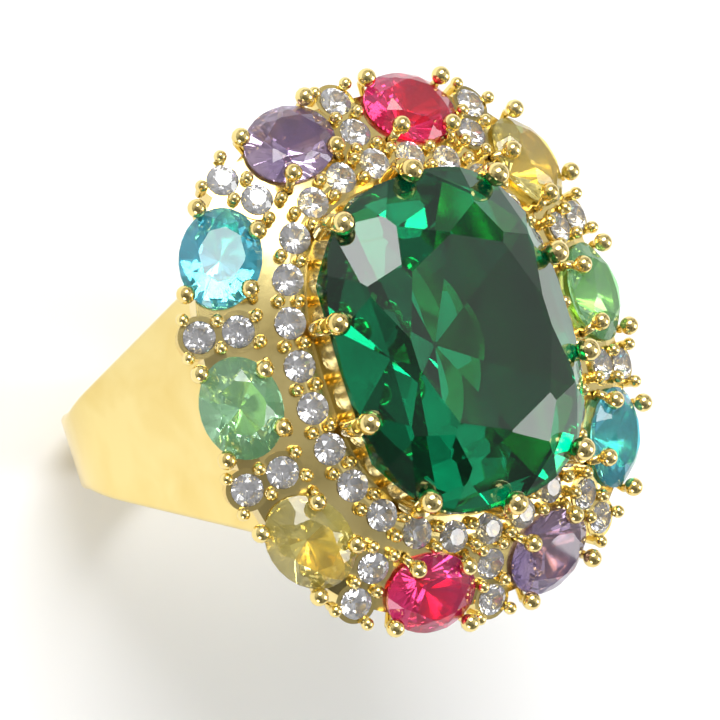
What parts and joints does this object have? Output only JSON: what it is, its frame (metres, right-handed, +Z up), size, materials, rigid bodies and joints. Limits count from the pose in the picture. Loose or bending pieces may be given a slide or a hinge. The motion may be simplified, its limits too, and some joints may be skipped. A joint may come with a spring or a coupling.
{
  "type": "cocktail ring",
  "caption": "Gold-coloured cocktail ring: wide tapering band, domed oval head with a large green cushion-cut stone in claws, a halo of small clear stones and a rim of coloured oval stones.",
  "frame": {"origin": "centre of the finger hole, on its axis and half way along it", "axes": "+Y along the finger hole and along the head's long side, +Z up through the centre stone, +X across the head to the right"},
  "size_m": [0.0256, 0.0276, 0.0301],
  "materials": {
    "gold": "pale yellow gold plating, polished to a mirror",
    "emerald": "deep green, cut and polished",
    "red_stone": "pinkish red, cut and polished",
    "yellow_stone": "warm yellow, cut and polished",
    "green_stone": "pale green, cut and polished",
    "turquoise_stone": "turquoise blue, cut and polished",
    "purple_stone": "greyish purple, cut and polished",
    "clear_stone": "colourless, cut and polished"
  },
  "bodies": {
    "root": {"shank": "gold", "head_plate": "gold", "centre_collet": "gold", "centre_claws": "gold", "centre_stone": "emerald", "halo_stones": "clear_stone", "halo_inner_beads": "gold", "halo_outer_beads": "gold", "oval_red_1": "red_stone", "claws_red_1": "gold", "oval_yellow_1": "yellow_stone", "claws_yellow_1": "gold", "oval_green_1": "green_stone", "claws_green_1": "gold", "oval_turquoise_1": "turquoise_stone", "claws_turquoise_1": "gold", "oval_purple_1": "purple_stone", "claws_purple_1": "gold", "oval_red_2": "red_stone", "claws_red_2": "gold", "oval_yellow_2": "yellow_stone", "claws_yellow_2": "gold", "oval_green_2": "green_stone", "claws_green_2": "gold", "oval_turquoise_2": "turquoise_stone", "claws_turquoise_2": "gold", "oval_purple_2": "purple_stone", "claws_purple_2": "gold", "pair_1": "clear_stone", "pair_beads_1": "gold", "pair_2": "clear_stone", "pair_beads_2": "gold", "pair_3": "clear_stone", "pair_beads_3": "gold", "pair_4": "clear_stone", "pair_beads_4": "gold", "pair_5": "clear_stone", "pair_beads_5": "gold", "pair_6": "clear_stone", "pair_beads_6": "gold", "pair_7": "clear_stone", "pair_beads_7": "gold", "pair_8": "clear_stone", "pair_beads_8": "gold", "pair_9": "clear_stone", "pair_beads_9": "gold", "pair_10": "clear_stone", "pair_beads_10": "gold"}
  },
  "joints": []
}
